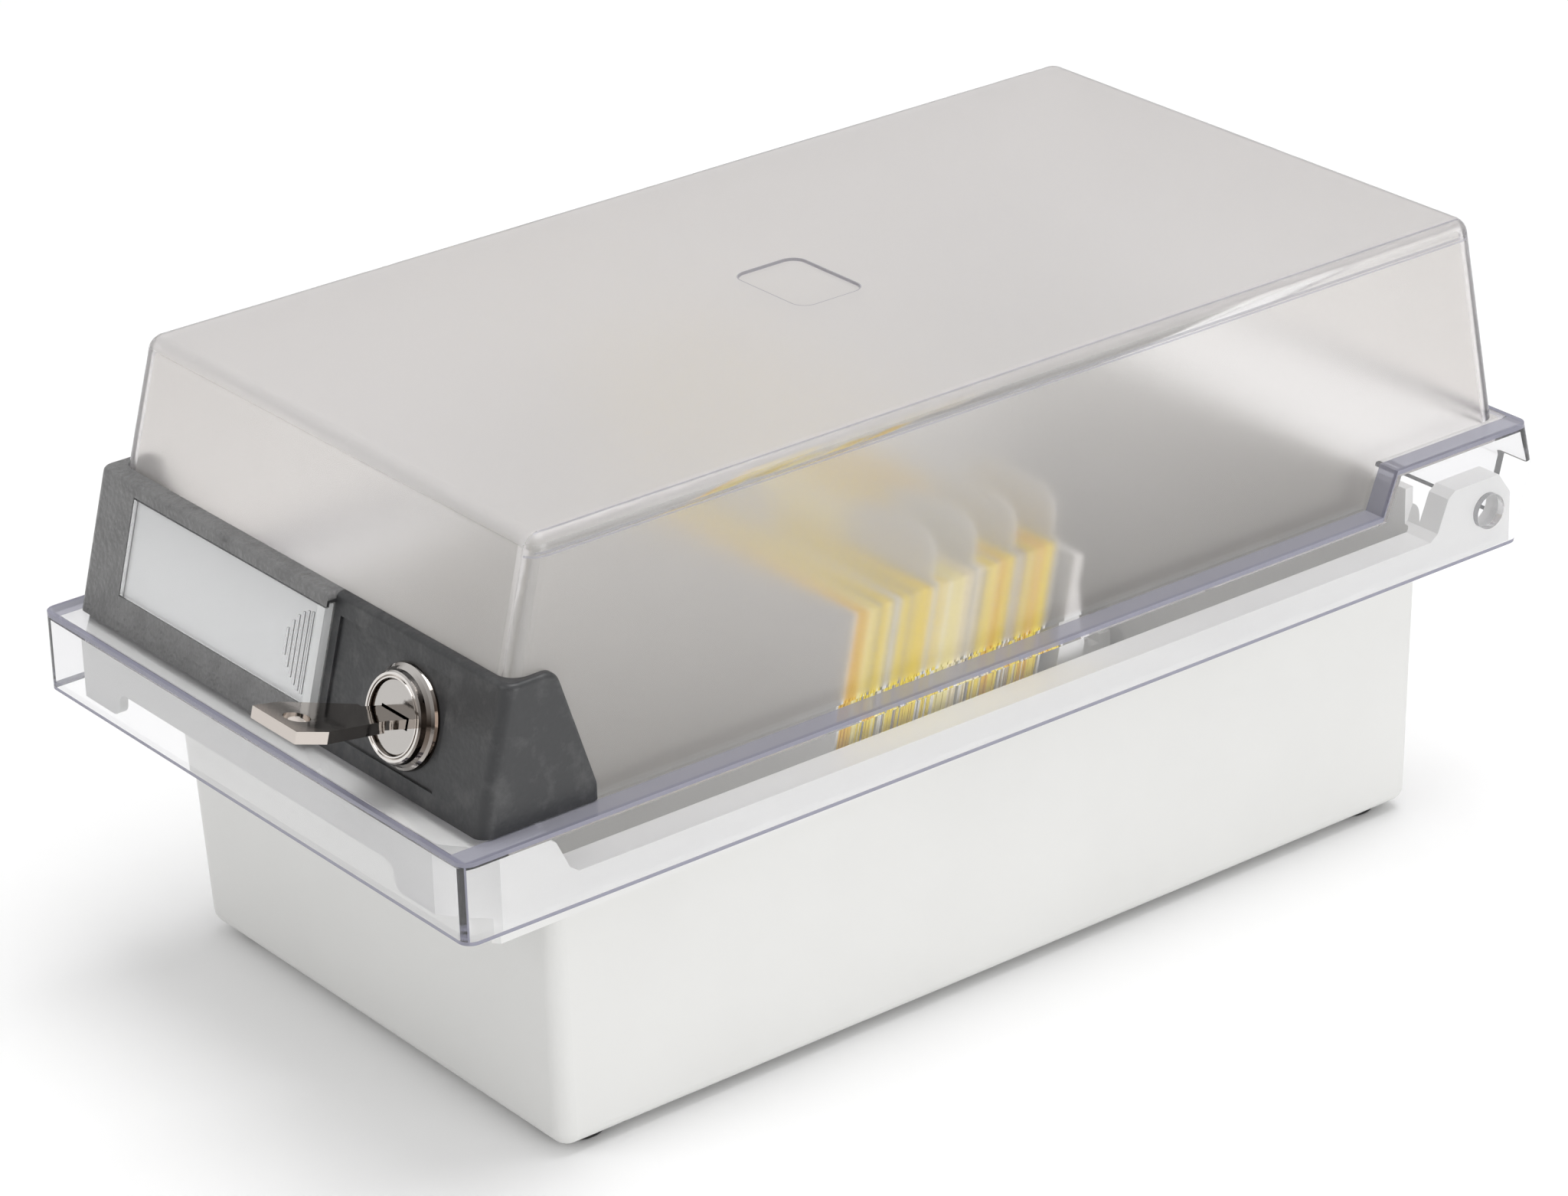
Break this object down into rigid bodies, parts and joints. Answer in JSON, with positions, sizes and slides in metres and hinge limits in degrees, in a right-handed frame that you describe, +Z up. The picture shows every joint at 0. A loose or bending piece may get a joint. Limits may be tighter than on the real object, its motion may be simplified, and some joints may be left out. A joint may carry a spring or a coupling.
{
  "type": "lockable index card box",
  "caption": "Long desk box for index cards: light tray, hinged clear and frosted lid, dark front panel with label window, key lock.",
  "frame": {"origin": "on the table, under the centre of the lid's skirt", "axes": "+Z up, -Y towards the lock and label, X across the box"},
  "size_m": [0.133, 0.267, 0.121],
  "materials": {
    "tray": "fine satin moulding",
    "lid": "clear with frosted dome",
    "panel": "fine leather grain and satin",
    "window": "clear polished",
    "label": "plain paper",
    "chrome": "polished",
    "plug": "satin",
    "steel": "zinc plated",
    "key": "polished nickel",
    "rubber": "black rubber",
    "cards": "card edges, yellow and white",
    "divider": "stiff index sheet",
    "plate": "white moulding"
  },
  "bodies": {
    "tray": {"tray": "tray", "foot_front_left": "rubber", "foot_front_right": "rubber", "foot_rear_left": "rubber", "foot_rear_right": "rubber", "divider_2": "divider", "cards_2": "cards", "divider_3": "divider", "cards_3": "cards", "divider_4": "divider", "cards_4": "cards", "divider_5": "divider", "cards_5": "cards", "divider_6": "divider"},
    "lid": {"lid": "lid", "front_panel": "panel", "label_card": "label", "lock_barrel": "chrome", "lock_nut": "steel", "panel_screws": "steel"},
    "lock_plug": {"lock_plug": "plug", "lock_cam": "steel", "cam_screw": "steel"},
    "key": {"key": "key"},
    "label_window": {"label_window": "window"},
    "support_plate": {"support_plate": "plate"},
    "front_cards": {"divider_1": "divider", "cards_1": "cards"}
  },
  "joints": [
    {"name": "lid_hinge", "type": "hinge", "parent": "tray", "child": "lid", "pos_m": [0, 0.1144, 0.0627], "axis": [-1, 0, 0], "range_deg": [0, 95]},
    {"name": "lock_turn", "type": "hinge", "parent": "lid", "child": "lock_plug", "pos_m": [0.0361, -0.11472, 0.08341], "axis": [0, 0.9659, -0.2588], "range_deg": [0, 90]},
    {"name": "key_slide", "type": "slide", "parent": "lock_plug", "child": "key", "axis": [0, -0.9659, 0.2588], "range_m": [0, 0.024]},
    {"name": "window_slide", "type": "slide", "parent": "lid", "child": "label_window", "axis": [1, 0, 0], "range_m": [0, 0.014]},
    {"name": "support_slide", "type": "slide", "parent": "tray", "child": "support_plate", "axis": [0, 1, 0], "range_m": [0, 0.07]},
    {"name": "cards_tip", "type": "hinge", "parent": "tray", "child": "front_cards", "pos_m": [0, -0.0468, 0.0101], "axis": [1, 0, 0], "range_deg": [0, 48]}
  ]
}
